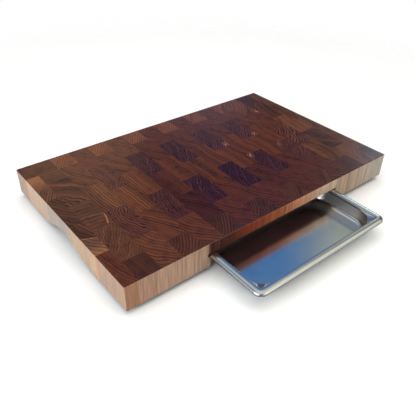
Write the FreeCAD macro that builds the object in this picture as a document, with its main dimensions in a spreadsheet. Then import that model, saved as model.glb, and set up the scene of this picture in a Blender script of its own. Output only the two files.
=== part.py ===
"""End-grain walnut cutting board with one steel pan that slides in its front edge.

+X runs along the board, +Y to its back edge, +Z up.  The origin is the middle of
the board's underside; the rubber feet reach below it.  Millimetres throughout.
"""
import FreeCAD, Part
import Sketcher
import math
import os

V = FreeCAD.Vector
Rule = Sketcher.Constraint
START, END, CENTRE = range(1, 4)         # how a sketch numbers an element's points
X_AXIS, Y_AXIS = range(-1, -3, -1)       # and its own axes; the start of X_AXIS is its origin
doc = FreeCAD.newDocument("CuttingBoard")

# ---------------------------------------------------------------- driving sizes
SIZES = [
    # board
    ("board_length", 650.0),
    ("board_width", 412.0),
    ("board_thickness", 52.0),
    ("corner_round", 2.5),       # upright corners of the board
    ("edge_round", 1.5),         # long edges, top and bottom
    # glued-up blocks: slices side by side along X, sticks along Y inside a slice
    ("slice_count", 16),
    ("first_slice", 26.0),       # the trimmed slice at the left end
    ("last_slice", 29.0),        # the trimmed slice at the right end
    ("stick_count", 5),
    ("first_stick", 49.0),       # the trimmed stick that every slice starts with
    ("last_stick", 87.0),
    # pan
    ("pan_width", 325.0),
    ("pan_depth", 176.0),
    ("pan_pull", 122.0),         # how far it stands out of the front
    ("sheet", 0.8),
    ("flange", 12.5),            # rim, from its outer edge to the well
    ("rim_height", 6.5),
    ("rim_corner", 10.0),
    ("rim_roll", 5.0),           # rounding of the rim's outer shoulder
    ("rim_lip", 1.5),            # rounding of the rim's inner shoulder
    ("well_step", 3.8),          # drop from the rim's top to the corner webs
    ("step_corner", 4.0),
    ("well_corner", 39.0),
    ("well_depth", 31.5),        # rim's top to the floor
    ("well_draft", 6.5),         # degrees
    ("well_foot", 9.5),          # rounding where walls meet the floor
    # recess in the board
    ("ledge_height", 23.0),
    ("ledge_grip", 10.1),        # how far a ledge reaches in under the rim
    ("ledge_nose", 9.6),         # rounding of a ledge's front corner
    ("slot_corner", 8.0),        # cutter radius in the recess's back corners
    ("side_play", 2.5),          # rim to slot, each side
    ("lift_play", 0.3),          # rim to ledge
    ("top_play", 0.7),           # rim to ceiling
    ("back_play", 3.0),          # rim to the recess's back wall when shut
    # finger grips under both ends
    ("grip_length", 168.0),
    ("grip_height", 22.0),
    ("grip_crown", 120.0),       # radius of the middle arc
    ("grip_depth", 26.0),
    # feet and their screws
    ("foot_inset", 45.0),        # board edge to foot axis, both ways
    ("foot_radius", 16.0),
    ("foot_taper", 2.0),         # radius lost from top to bottom
    ("foot_height", 10.0),
    ("foot_edge", 1.0),
    ("foot_well", 8.6),          # radius of the pocket that hides the screw
    ("foot_well_depth", 5.0),
    ("washer_radius", 8.0),
    ("washer_height", 1.2),
    ("shank_radius", 2.1),
    ("shank_play", 0.3),         # shank to the holes in foot and washer
    ("screw_reach", 18.0),       # length in the wood
    ("screw_tip", 4.0),
    ("head_radius", 4.4),
    ("head_face", 3.5),          # radius of the flat that carries the cross recess
    ("head_height", 2.6),
    ("head_band", 1.3),          # height of the head's upright side
    ("cross_width", 1.1),
    ("cross_length", 4.6),
    ("cross_depth", 1.2),
]
sheet = doc.addObject("Spreadsheet::Sheet", "Sizes")
for row, (alias, number) in enumerate(SIZES, 1):
    sheet.set("A%d" % row, alias)
    sheet.set("B%d" % row, str(number))
    sheet.setAlias("B%d" % row, alias)
doc.recompute()


def value(expression):
    """The number that an expression on the sheet gives now."""
    return float(sheet.evalExpression(str(expression)))


def size(alias):
    return value("Sizes." + alias)


# Expressions that several pieces share
BACK = "Sizes.board_width / 2"
CEILING = "(Sizes.ledge_height + Sizes.lift_play + Sizes.rim_height + Sizes.top_play)"
SLOT_HALF = "(Sizes.pan_width / 2 + Sizes.side_play)"
GAP_HALF = "(Sizes.pan_width / 2 - Sizes.ledge_grip)"
RECESS_DEPTH = "(Sizes.pan_depth + Sizes.back_play)"
CUT_PAST = 2.0                   # how far a cutting solid runs past the face it opens
NEAR = 0.01                      # tolerance when an edge is looked up by its place


# ---------------------------------------------------------------- small helpers
def bind(obj, **expressions):
    """Ties properties to sheet expressions; __ stands for the dot in a path."""
    for prop, expression in expressions.items():
        obj.setExpression(prop.replace("__", "."), str(expression))


def new_body(name):
    body = doc.addObject("PartDesign::Body", name)
    body.Label = name
    return body


def origin_plane(body, role):
    for item in body.Origin.OriginFeatures:
        if item.Role == role:
            return item
    raise ValueError(role)


def new_sketch(body, name, role="XY_Plane", lift=None):
    sketch = body.newObject("Sketcher::SketchObject", name)
    sketch.AttachmentSupport = (origin_plane(body, role), [""])
    sketch.MapMode = "FlatFace"
    if lift is not None:
        bind(sketch, AttachmentOffset__Base__z=lift)
    return sketch


def drive(sketch, *rule_and_expression):
    """Adds a dimension whose starting value and binding come from one expression."""
    *rule, expression = rule_and_expression
    index = sketch.addConstraint(Rule(*rule, value(expression)))
    sketch.setExpression("Constraints[%d]" % index, expression)


def rounded_rectangle(sketch, length, width, radius):
    """A rounded rectangle centred on the sketch's origin; sizes are expressions."""
    half_x, half_y, bend = value(length) / 2, value(width) / 2, value(radius)
    middles = [(half_x - bend, bend - half_y), (half_x - bend, half_y - bend),
               (bend - half_x, half_y - bend), (bend - half_x, bend - half_y)]
    first = sketch.GeometryCount
    for quarter, (x, y) in enumerate(middles):
        turn = math.radians(90 * quarter)
        out = V(math.sin(turn), -math.cos(turn)) * bend
        last = V(*middles[quarter - 1]) + out
        sketch.addGeometry(Part.LineSegment(last, V(x, y) + out))
        circle = Part.Circle(V(x, y), V(0, 0, 1), bend)
        sketch.addGeometry(Part.ArcOfCircle(circle, turn - math.pi / 2, turn))
    lines = range(first, first + 8, 2)
    arcs = range(first + 1, first + 8, 2)
    for quarter in range(4):
        sketch.addConstraint(Rule("Tangent", lines[quarter], END, arcs[quarter], START))
        sketch.addConstraint(Rule("Tangent", arcs[quarter], END, lines[(quarter + 1) % 4], START))
        sketch.addConstraint(Rule("Vertical" if quarter % 2 else "Horizontal", lines[quarter]))
    for arc in arcs[1:]:
        sketch.addConstraint(Rule("Equal", arcs[0], arc))
    sketch.addConstraint(Rule("Symmetric", arcs[3], CENTRE, arcs[1], CENTRE, X_AXIS, START))
    drive(sketch, "DistanceX", lines[3], START, lines[1], START, length)
    drive(sketch, "DistanceY", lines[0], START, lines[2], START, width)
    drive(sketch, "Radius", arcs[0], radius)


def edges_where(shape, test):
    """Names of the edges whose two ends and middle all pass the test."""
    names = []
    for index, edge in enumerate(shape.Edges, 1):
        points = [vertex.Point for vertex in edge.Vertexes]
        points.append(edge.valueAt((edge.FirstParameter + edge.LastParameter) / 2))
        if all(test(point) for point in points):
            names.append("Edge%d" % index)
    return names


def round_edges(body, name, test, radius):
    doc.recompute()
    base = body.Tip
    names = edges_where(base.Shape, test)
    if not names:
        raise ValueError("no edges for " + name)
    fillet = body.newObject("PartDesign::Fillet", name)
    fillet.Base = (base, names)
    bind(fillet, Radius=radius)
    return fillet


def pad(body, sketch, name, length, downwards=False, taper=None):
    feature = body.newObject("PartDesign::Pad", name)
    feature.Profile = sketch
    feature.Reversed = downwards
    bind(feature, Length=length)
    if taper is not None:
        bind(feature, TaperAngle=taper)
    return feature


def pocket(body, sketch, name, length, upwards=False, taper=None):
    """Cuts against the sketch's normal, or along it; a cut that misses is an error."""
    doc.recompute()
    before = body.Tip.Shape.Volume
    feature = body.newObject("PartDesign::Pocket", name)
    feature.Profile = sketch
    feature.Reversed = upwards
    bind(feature, Length=length)
    if taper is not None:
        bind(feature, TaperAngle=taper)
    doc.recompute()
    if not feature.Shape.Volume < before - NEAR:
        raise ValueError("%s cuts nothing" % name)
    return feature


def close_to(a, b):
    return abs(a - b) < NEAR


def at_level(height, within=None, beyond=None):
    """A test for points at one height, inside or outside a half length and half width."""
    def test(point):
        if not close_to(point.z, height):
            return False
        if within and (abs(point.x) > within[0] + NEAR or abs(point.y) > within[1] + NEAR):
            return False
        return not (beyond and abs(point.x) < beyond[0] - NEAR and abs(point.y) < beyond[1] - NEAR)
    return test


def make_group(label, pieces):
    group = doc.addObject("Part::Compound", "Group_" + label)
    group.Links = pieces
    group.Label = label
    return group


# ---------------------------------------------------------------- the board as one blank
def make_blank():
    """The glued board after machining; the blocks are cut from it afterwards."""
    body = new_body("board_blank")
    half_x, half_y = size("board_length") / 2, value(BACK)
    block = body.newObject("PartDesign::AdditiveBox", "Block")
    bind(block, Length="Sizes.board_length", Width="Sizes.board_width", Height="Sizes.board_thickness",
         Placement__Base__x="-Sizes.board_length / 2", Placement__Base__y="-" + BACK)
    round_edges(body, "UprightCorners",
                lambda p: close_to(abs(p.x), half_x) and close_to(abs(p.y), half_y), "Sizes.corner_round")
    cut_recess(body)
    for side, name in ((-1, "LeftGrip"), (1, "RightGrip")):
        cut_grip(body, side, name)
    cut_pilot_holes(body)
    inner = (half_x - size("corner_round"), half_y - size("corner_round"))
    round_edges(body, "TopEdges", at_level(size("board_thickness"), beyond=inner), "Sizes.edge_round")
    round_edges(body, "BottomEdges",
                lambda p: close_to(p.z, 0) and (close_to(abs(p.x), half_x) or close_to(abs(p.y), half_y)),
                "Sizes.edge_round")
    return body


def cut_recess(body):
    """A wide slot for the rim above a narrower gap for the well, open to the front and below."""
    front = "-%s - %s" % (BACK, CUT_PAST)
    run = "%s + %s" % (RECESS_DEPTH, CUT_PAST)
    slot = body.newObject("PartDesign::SubtractiveBox", "RimSlot")
    bind(slot, Length="2 * " + SLOT_HALF, Width=run, Height=CEILING + " - Sizes.ledge_height",
         Placement__Base__x="-" + SLOT_HALF, Placement__Base__y=front,
         Placement__Base__z="Sizes.ledge_height")
    gap = body.newObject("PartDesign::SubtractiveBox", "WellGap")
    bind(gap, Length="2 * " + GAP_HALF, Width=run, Height="Sizes.ledge_height + %s" % CUT_PAST,
         Placement__Base__x="-" + GAP_HALF, Placement__Base__y=front,
         Placement__Base__z=-CUT_PAST)
    halves, front_y = (value(SLOT_HALF), value(GAP_HALF)), -value(BACK)
    back_y = front_y + value(RECESS_DEPTH)
    round_edges(body, "RecessCorners",
                lambda p: close_to(p.y, back_y) and any(close_to(abs(p.x), half) for half in halves),
                "Sizes.slot_corner")
    round_edges(body, "LedgeNoses",
                lambda p: close_to(p.y, front_y) and close_to(abs(p.x), value(GAP_HALF)),
                "Sizes.ledge_nose")


def cut_grip(body, side, name):
    """A shallow arch under one end: a wide middle arc that runs out in two softer ones."""
    end_face = "-Sizes.board_length / 2" if side < 0 else "Sizes.board_length / 2"
    sketch = new_sketch(body, name + "Outline", "YZ_Plane", end_face)
    reach, height, crown = size("grip_length") / 2, size("grip_height"), size("grip_crown")
    shoulder = (reach ** 2 + height ** 2) / (2 * height) - crown
    sweep = math.asin(reach / (crown + shoulder))
    up, axis = math.pi / 2, V(0, 0, 1)
    middle = Part.Circle(V(0, height - crown), axis, crown)
    near = Part.Circle(V(-reach, shoulder), axis, shoulder)
    far = Part.Circle(V(reach, shoulder), axis, shoulder)
    top = sketch.addGeometry(Part.ArcOfCircle(middle, up - sweep, up + sweep))
    left = sketch.addGeometry(Part.ArcOfCircle(near, -up, sweep - up))
    right = sketch.addGeometry(Part.ArcOfCircle(far, -up - sweep, -up))
    foot = sketch.addGeometry(Part.LineSegment(V(-reach, 0), V(reach, 0)))
    sketch.addConstraint(Rule("Tangent", top, END, left, END))
    sketch.addConstraint(Rule("Tangent", top, START, right, START))
    sketch.addConstraint(Rule("Tangent", left, START, foot, START))
    sketch.addConstraint(Rule("Tangent", right, END, foot, END))
    sketch.addConstraint(Rule("Equal", left, right))
    sketch.addConstraint(Rule("PointOnObject", foot, START, X_AXIS))
    sketch.addConstraint(Rule("PointOnObject", top, CENTRE, Y_AXIS))
    drive(sketch, "Radius", top, "Sizes.grip_crown")
    drive(sketch, "DistanceX", foot, START, foot, END, "Sizes.grip_length")
    drive(sketch, "DistanceY", top, CENTRE, X_AXIS, START, "Sizes.grip_crown - Sizes.grip_height")
    pocket(body, sketch, name, "Sizes.grip_depth", upwards=side < 0)


def foot_places():
    """Name, X expression and Y expression of each foot."""
    across = "(Sizes.board_length / 2 - Sizes.foot_inset)"
    along = "(%s - Sizes.foot_inset)" % BACK
    for y_name, y_sign in (("front", "-"), ("back", "")):
        for x_name, x_sign in (("left", "-"), ("right", "")):
            yield "%s_%s" % (y_name, x_name), x_sign + across, y_sign + along


def cut_pilot_holes(body):
    for name, x, y in foot_places():
        hole = body.newObject("PartDesign::SubtractiveCylinder", "Pilot_" + name)
        bind(hole, Radius="Sizes.shank_radius", Height="Sizes.screw_reach + %s" % CUT_PAST,
             Placement__Base__x=x, Placement__Base__y=y, Placement__Base__z=-CUT_PAST)


# ---------------------------------------------------------------- slices of blocks
def spans(total, count, first, last):
    """Start and end expressions of the pieces along one side: equal ones between two trimmed ones."""
    step = "(Sizes.%s - Sizes.%s - Sizes.%s) / (Sizes.%s - 2)" % (total, first, last, count)
    marks = ["(Sizes.%s + %d * %s)" % (first, k, step) for k in range(int(size(count)) - 1)]
    return list(zip(["0"] + marks, marks + ["Sizes." + total]))


def make_cutter(name, x, length, y, width):
    box = doc.addObject("Part::Box", name)
    bind(box, Length=length, Width=width, Height="Sizes.board_thickness",
         Placement__Base__x="-Sizes.board_length / 2 + " + x, Placement__Base__y=y)
    return box


def make_sticks(turned):
    """The sticks of the glued panel, counted from the back edge, or from the front if turned."""
    sticks = []
    along = spans("board_width", "stick_count", "first_stick", "last_stick")
    for number, (near, far) in enumerate(along, 1):
        y = "-%s + %s" % (BACK, near) if turned else "%s - %s" % (BACK, far)
        name = "%s_%d" % ("TurnedStick" if turned else "Stick", number)
        sticks.append(make_cutter(name, "0", "Sizes.board_length", y, "%s - %s" % (far, near)))
    return sticks


def common(name, base, tool):
    shared = doc.addObject("Part::Common", name)
    shared.Base = base
    shared.Tool = tool
    return shared


def make_slices(blank):
    """Slices of one glued panel, every second one turned end for end, each of separate blocks."""
    slices = []
    sticks = {turned: make_sticks(turned) for turned in (False, True)}
    across = spans("board_length", "slice_count", "first_slice", "last_slice")
    for number, (left, right) in enumerate(across, 1):
        slab = make_cutter("Slab_%02d" % number, left, "%s - %s" % (right, left),
                           "-" + BACK, "Sizes.board_width")
        cut = common("Cut_%02d" % number, blank, slab)
        blocks = [common("Block_%02d_%d" % (number, place), cut, stick)
                  for place, stick in enumerate(sticks[number % 2 == 0], 1)]
        slices.append(make_group("walnut_slice_%02d" % number, blocks))
    return slices


# ---------------------------------------------------------------- the pan
def make_pan():
    """One pressed sheet: a hollow rim, four flat corner webs and a deep-drawn well."""
    body = new_body("steel_pan")
    rim_top = size("rim_height")
    outer = ("Sizes.pan_width", "Sizes.pan_depth", "Sizes.rim_corner")
    under = ("Sizes.pan_width - 2 * Sizes.sheet", "Sizes.pan_depth - 2 * Sizes.sheet",
             "Sizes.rim_corner - Sizes.sheet")
    mouth = ("Sizes.pan_width - 2 * Sizes.flange", "Sizes.pan_depth - 2 * Sizes.flange")
    skin = ("Sizes.pan_width - 2 * (Sizes.flange - Sizes.sheet)",
            "Sizes.pan_depth - 2 * (Sizes.flange - Sizes.sheet)")
    web_top = "Sizes.rim_height - Sizes.well_step"
    web_under = web_top + " - Sizes.sheet"

    slab = new_sketch(body, "RimOutline")
    rounded_rectangle(slab, *outer)
    pad(body, slab, "RimSlab", "Sizes.rim_height")

    step = new_sketch(body, "StepOutline", lift="Sizes.rim_height")
    rounded_rectangle(step, mouth[0], mouth[1], "Sizes.step_corner")
    pocket(body, step, "Step", "Sizes.well_step")
    mouth_half = (size("pan_width") / 2 - size("flange"), size("pan_depth") / 2 - size("flange"))
    round_edges(body, "RimLip", at_level(rim_top, within=mouth_half), "Sizes.rim_lip")

    below = new_sketch(body, "UndersideOutline")
    rounded_rectangle(below, *under)
    pocket(body, below, "Underside", web_under, upwards=True)

    channel = new_sketch(body, "ChannelOutline")
    rounded_rectangle(channel, *under)
    rounded_rectangle(channel, skin[0], skin[1], "Sizes.step_corner + Sizes.sheet")
    pocket(body, channel, "Channel", "Sizes.rim_height - Sizes.sheet", upwards=True)
    middle = (size("pan_width") / 2 - size("flange") / 2, size("pan_depth") / 2 - size("flange") / 2)
    round_edges(body, "ChannelRoll", at_level(rim_top - size("sheet"), beyond=middle),
                "Sizes.rim_roll - Sizes.sheet")
    round_edges(body, "RimRoll", at_level(rim_top, beyond=middle), "Sizes.rim_roll")

    drop = "Sizes.well_depth + Sizes.sheet - Sizes.well_step"
    shell = new_sketch(body, "ShellOutline", lift=web_top)
    rounded_rectangle(shell, skin[0], skin[1], "Sizes.well_corner + Sizes.sheet")
    pad(body, shell, "Shell", drop, downwards=True, taper="-Sizes.well_draft * 1deg")

    well = new_sketch(body, "WellOutline", lift=web_top)
    rounded_rectangle(well, mouth[0], mouth[1], "Sizes.well_corner")
    pocket(body, well, "Well", "Sizes.well_depth - Sizes.well_step", taper="-Sizes.well_draft * 1deg")
    floor = rim_top - size("well_depth")
    round_edges(body, "WellFoot", at_level(floor), "Sizes.well_foot")
    round_edges(body, "ShellFoot", at_level(floor - size("sheet")), "Sizes.well_foot + Sizes.sheet")

    bind(body, Placement__Base__y="-%s - Sizes.pan_pull + Sizes.pan_depth / 2" % BACK,
         Placement__Base__z="Sizes.ledge_height + Sizes.lift_play")
    return body


# ---------------------------------------------------------------- feet, washers, screws
def revolve(body, name, corners):
    """Turns a closed outline about Z; each corner is a radius and a height, as expressions."""
    sketch = new_sketch(body, name + "Profile", "XZ_Plane")
    points = [V(value(radius), value(height)) for radius, height in corners]
    for start, end in zip(points, points[1:] + points[:1]):
        sketch.addGeometry(Part.LineSegment(start, end))
    for side, (radius, height) in enumerate(corners):
        sketch.addConstraint(Rule("Coincident", side - 1 if side else len(corners) - 1, END, side, START))
        drive(sketch, "DistanceX", X_AXIS, START, side, START, radius)
        drive(sketch, "DistanceY", X_AXIS, START, side, START, height)
    turned = body.newObject("PartDesign::Revolution", name)
    turned.Profile = sketch
    turned.ReferenceAxis = (sketch, ["V_Axis"])
    turned.Angle = 360
    doc.recompute()


def make_foot(place, x, y):
    """A tapered rubber foot with a pocket below for the screw and its washer."""
    body = new_body("foot_" + place)
    bore = "Sizes.shank_radius + Sizes.shank_play"
    low = "-Sizes.foot_height"
    roof = "Sizes.foot_well_depth - Sizes.foot_height"
    tip = "Sizes.foot_radius - Sizes.foot_taper"
    revolve(body, "Foot_" + place, [
        (bore, "0"), ("Sizes.foot_radius", "0"), (tip, low),
        ("Sizes.foot_well", low), ("Sizes.foot_well", roof), (bore, roof)])
    base, tip_radius = -size("foot_height"), size("foot_radius") - size("foot_taper")
    round_edges(body, "Edge_" + place,
                lambda p: close_to(p.z, base) and p.Length > tip_radius, "Sizes.foot_edge")
    bind(body, Placement__Base__x=x, Placement__Base__y=y)
    return body


def make_washer(place, x, y):
    body = new_body("washer_" + place)
    bore = "Sizes.shank_radius + Sizes.shank_play"
    top = "Sizes.foot_well_depth - Sizes.foot_height"
    low = top + " - Sizes.washer_height"
    revolve(body, "Washer_" + place, [
        (bore, low), ("Sizes.washer_radius", low), ("Sizes.washer_radius", top), (bore, top)])
    bind(body, Placement__Base__x=x, Placement__Base__y=y)
    return body


def make_screw(place, x, y):
    """A pan-head wood screw with a cross recess, driven up through foot and washer."""
    body = new_body("screw_" + place)
    seat = "Sizes.foot_well_depth - Sizes.foot_height - Sizes.washer_height"
    low = seat + " - Sizes.head_height"
    revolve(body, "Screw_" + place, [
        ("0", low), ("Sizes.head_face", low), ("Sizes.head_radius", seat + " - Sizes.head_band"),
        ("Sizes.head_radius", seat), ("Sizes.shank_radius", seat),
        ("Sizes.shank_radius", "Sizes.screw_reach - Sizes.screw_tip"), ("0", "Sizes.screw_reach")])
    for turn, wide, deep in (("A", "Sizes.cross_length", "Sizes.cross_width"),
                             ("B", "Sizes.cross_width", "Sizes.cross_length")):
        slot = body.newObject("PartDesign::SubtractiveBox", "Cross%s_%s" % (turn, place))
        bind(slot, Length=wide, Width=deep, Height="Sizes.cross_depth + %s" % CUT_PAST,
             Placement__Base__x="-(%s) / 2" % wide, Placement__Base__y="-(%s) / 2" % deep,
             Placement__Base__z="%s - %s" % (low, CUT_PAST))
    bind(body, Placement__Base__x=x, Placement__Base__y=y)
    return body


# ---------------------------------------------------------------- build, test and write
blank = make_blank()
nodes = make_slices(blank)
nodes.append(make_pan())
places = list(foot_places())
nodes += [make_foot(*place) for place in places]
nodes.append(make_group("foot_washers", [make_washer(*place) for place in places]))
nodes.append(make_group("foot_screws", [make_screw(*place) for place in places]))
doc.recompute()

for item in doc.Objects:
    if "Invalid" in item.State or "Error" in item.State:
        raise RuntimeError("%s failed: %s" % (item.Name, item.State))
for node in nodes:
    shape = node.Shape
    if shape.isNull() or not shape.isValid() or shape.Volume <= 0:
        raise RuntimeError("%s has no valid shape" % node.Label)

os.makedirs("parts", exist_ok=True)
for node in nodes:
    node.Shape.exportStep("parts/%s.step" % node.Label)
    print("%-18s %2d solids  %10.1f mm3" % (node.Label, len(node.Shape.Solids), node.Shape.Volume))
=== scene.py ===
import math
from typing import NamedTuple

import bmesh
import bpy
from bpy.props import FloatProperty, FloatVectorProperty, IntProperty, PointerProperty
from mathutils import Matrix, Vector


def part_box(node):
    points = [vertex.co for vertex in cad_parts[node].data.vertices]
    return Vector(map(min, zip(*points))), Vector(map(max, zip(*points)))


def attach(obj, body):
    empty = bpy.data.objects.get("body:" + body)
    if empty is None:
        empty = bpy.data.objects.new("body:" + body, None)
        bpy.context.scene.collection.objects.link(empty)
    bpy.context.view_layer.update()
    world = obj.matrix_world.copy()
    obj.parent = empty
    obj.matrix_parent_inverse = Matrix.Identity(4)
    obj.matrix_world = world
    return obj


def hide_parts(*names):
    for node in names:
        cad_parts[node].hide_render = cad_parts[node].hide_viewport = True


bl_info = {
    "name": "Cutting Board with Drawer Tray",
    "version": (1, 0, 0),
    "blender": (4, 5, 0),
    "location": "View3D > Sidebar > Board",
    "description": "Dresses an end-grain walnut board with a pull-out steel pan",
    "category": "Object",
}

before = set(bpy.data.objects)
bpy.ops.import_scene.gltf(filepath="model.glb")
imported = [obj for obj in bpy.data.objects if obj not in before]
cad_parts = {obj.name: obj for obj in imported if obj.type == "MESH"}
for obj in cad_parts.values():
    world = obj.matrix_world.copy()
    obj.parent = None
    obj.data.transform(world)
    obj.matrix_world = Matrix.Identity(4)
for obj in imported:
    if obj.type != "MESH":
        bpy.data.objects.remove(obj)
bpy.context.view_layer.update()

MM = 0.001
SLICES = sorted(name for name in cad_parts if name.startswith("walnut_slice"))
FIXINGS = ("foot_washers", "foot_screws")
FEET = sorted(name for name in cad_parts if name.startswith("foot_") and name not in FIXINGS)


def mm(metres):
    """Metres as millimetres."""
    return metres / MM


def box_of(names):
    """The lowest and highest corner of several CAD nodes."""
    corners = [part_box(name) for name in names]
    low = [min(c[0][axis] for c in corners) for axis in range(3)]
    high = [max(c[1][axis] for c in corners) for axis in range(3)]
    return Vector(low), Vector(high)


def placed(name, data):
    """A new object in the scene."""
    item = bpy.data.objects.new(name, data)
    bpy.context.scene.collection.objects.link(item)
    return item


BOARD_LOW, BOARD_HIGH = box_of(SLICES)
FEET_LOW, FEET_HIGH = box_of(FEET)
PAN_LOW, PAN_HIGH = box_of(["steel_pan"])

# The board's length and depth and the sticks of each slice, in millimetres.
LONG = round(mm(BOARD_HIGH[0] - BOARD_LOW[0]), 3)
DEEP = round(mm(BOARD_HIGH[1] - BOARD_LOW[1]), 3)
STICK_WIDTHS = (49.0, 92.0, 92.0, 92.0, 87.0)
STICK_STARTS = [sum(STICK_WIDTHS[:number]) for number in range(5)]


# ---- shader sums


def linear(shade):
    """A screen colour, 0 to 255, as the linear colour that a shader takes."""
    parts = [part / 255.0 for part in shade]
    return tuple(p / 12.92 if p <= 0.04045 else ((p + 0.055) / 1.055) ** 2.4 for p in parts)


def solid(shade):
    """A screen colour, 0 to 255, as a shader's socket takes it."""
    return (*linear(shade), 1.0)


def ink(colour):
    """A colour of the panel, 0 to 1, as a shader's socket takes it."""
    return solid([part * 255.0 for part in colour])


def sum_of(operation, swapped=False):
    """A method of Wire that takes one other number or wire."""

    def method(self, other):
        return self.sums(operation, *((other, self) if swapped else (self, other)))

    return method


class Wire:
    """A number that runs through a node tree, summed as Python sums numbers.

    a.above(b) is 1 where a is more than b, else 0; a.or_more(b) is the larger.
    """

    def __init__(self, tree, socket):
        self.tree = tree
        self.socket = socket

    def sums(self, operation, *terms, clamp=False):
        settings = {"operation": operation, "use_clamp": clamp}
        return self.tree.add("ShaderNodeMath", settings, dict(enumerate(terms)))

    __add__ = sum_of("ADD")
    __radd__ = sum_of("ADD", swapped=True)
    __sub__ = sum_of("SUBTRACT")
    __rsub__ = sum_of("SUBTRACT", swapped=True)
    __mul__ = sum_of("MULTIPLY")
    __truediv__ = sum_of("DIVIDE")
    __pow__ = sum_of("POWER")
    above = sum_of("GREATER_THAN")
    or_more = sum_of("MAXIMUM")

    def __abs__(self):
        return self.sums("ABSOLUTE", self)

    def whole(self):
        return self.sums("FLOOR", self)

    def part(self):
        return self.sums("FRACT", self)

    def held(self):
        """Kept from 0 to 1."""
        return self.sums("ADD", self, 0.0, clamp=True)

    def eased(self, low, high):
        """Runs smoothly from 0 at low to 1 at high."""
        settings = {"interpolation_type": "SMOOTHSTEP"}
        sockets = {0: self, 1: low, 2: high, 3: 0.0, 4: 1.0}
        return self.tree.add("ShaderNodeMapRange", settings, sockets)


class Tree:
    """A node tree and the one call that adds a node to it."""

    def __init__(self, tree):
        self.tree = tree
        self.tree.nodes.clear()

    def add(self, kind, settings=None, sockets=None, out=0):
        """Adds a node with its settings and inputs, and returns one of its outputs."""
        node = self.tree.nodes.new(kind)
        for key, value in (settings or {}).items():
            if key == "stops":
                self.stops(node.color_ramp, value)
            elif key == "ramp":
                node.color_ramp.interpolation = value
            else:
                setattr(node, key, value)
        for key, value in (sockets or {}).items():
            if isinstance(value, Wire):
                self.tree.links.new(value.socket, node.inputs[key])
            else:
                node.inputs[key].default_value = value
        if not node.outputs:
            return node
        return Wire(self, node.outputs[out])

    def stops(self, ramp, stops):
        """Sets the colours of a ramp."""
        while len(ramp.elements) < len(stops):
            ramp.elements.new(1.0)
        for element, (place, shade) in zip(ramp.elements, stops):
            element.position = place
            element.color = (*shade, 1.0)

    def join(self, x, y, z):
        """Three numbers as a place."""
        return self.add("ShaderNodeCombineXYZ", None, {0: x, 1: y, 2: z})

    def split(self, wire):
        """The three parts of a place or a colour."""
        node = self.add("ShaderNodeSeparateXYZ", None, {0: wire}).socket.node
        return [Wire(self, socket) for socket in node.outputs]


class Finish(Tree):
    """One material, or the world, and the nodes that its looks are made of."""

    def __init__(self, name, world=None):
        self.material = world or bpy.data.materials.new(name)
        self.material.use_nodes = True
        super().__init__(self.material.node_tree)

    def place(self):
        """A point's place on its object, in metres."""
        return self.add("ShaderNodeTexCoord", out="Object")

    def ramp(self, factor, stops, kind="LINEAR"):
        return self.add("ShaderNodeValToRGB", {"stops": stops, "ramp": kind}, {0: factor})

    def grey(self, factor, stops):
        """A ramp that carries one number."""
        return self.ramp(factor, [(place, (tone, tone, tone)) for place, tone in stops])

    def noise(self, place, detail, scale=1.0):
        sockets = {"Vector": place, "Scale": scale, "Detail": detail}
        return self.add("ShaderNodeTexNoise", None, sockets)

    def chance(self, number):
        """A number from 0 to 1 that looks random, the same one for the same number."""
        return self.add("ShaderNodeTexWhiteNoise", {"noise_dimensions": "1D"}, {"W": number})

    def blend(self, factor, first, second):
        """The first colour where the factor is 0 and the second where it is 1."""
        settings = {"data_type": "RGBA", "clamp_factor": True}
        return self.add("ShaderNodeMix", settings, {0: factor, 6: first, 7: second}, out=2)

    def scaled(self, wire, by):
        settings = {"operation": "SCALE"}
        return self.add("ShaderNodeVectorMath", settings, {0: wire, "Scale": by})

    def bump(self, height, strength, depth):
        """Relief, with its greatest depth in metres."""
        sockets = {"Strength": strength, "Distance": depth, "Height": height}
        return self.add("ShaderNodeBump", None, sockets)

    def surface(self, **sockets):
        """Ends the material with its one shader."""
        named = {key.replace("_", " "): value for key, value in sockets.items()}
        shader = self.add("ShaderNodeBsdfPrincipled", None, named)
        self.add("ShaderNodeOutputMaterial", None, {"Surface": shader})
        return self.material


# ---- end-grain walnut

# Screen colours, 0 to 255.  Each kind of walnut has a light, a dark and a streak one.
TONES = {
    "cocoa": ((84, 39, 30), (32, 13, 15), (120, 64, 42)),
    "ember": ((88, 43, 30), (36, 15, 15), (130, 70, 44)),
    "plum": ((92, 47, 38), (22, 10, 15), (124, 70, 50)),
    "honey": ((112, 62, 42), (56, 27, 22), (162, 98, 62)),
    "umber": ((68, 35, 28), (24, 11, 12), (104, 58, 41)),
    "wine": ((62, 26, 28), (24, 8, 15), (84, 38, 34)),
    "ochre": ((112, 68, 43), (38, 20, 18), (156, 98, 58)),
    "bark": ((90, 52, 37), (36, 18, 16), (128, 78, 50)),
    "gold": ((106, 61, 33), (54, 27, 18), (138, 82, 45)),
    "night": ((52, 24, 38), (12, 5, 16), (104, 50, 50)),
}
SAPWOOD = (170, 118, 92)
HONEY_LINE = (226, 156, 98)
AMBER = (162, 106, 67)
KNOT = (94, 64, 50)
CRACK = (186, 122, 84)
# Colour of the painted glints of light from the pan on the strip over it.
GLINT = (150, 78, 44)
# Painted bounce light on the downward wood over the pan, which the steel mirrors.
CEILING_BOUNCE = (122, 56, 66)
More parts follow.
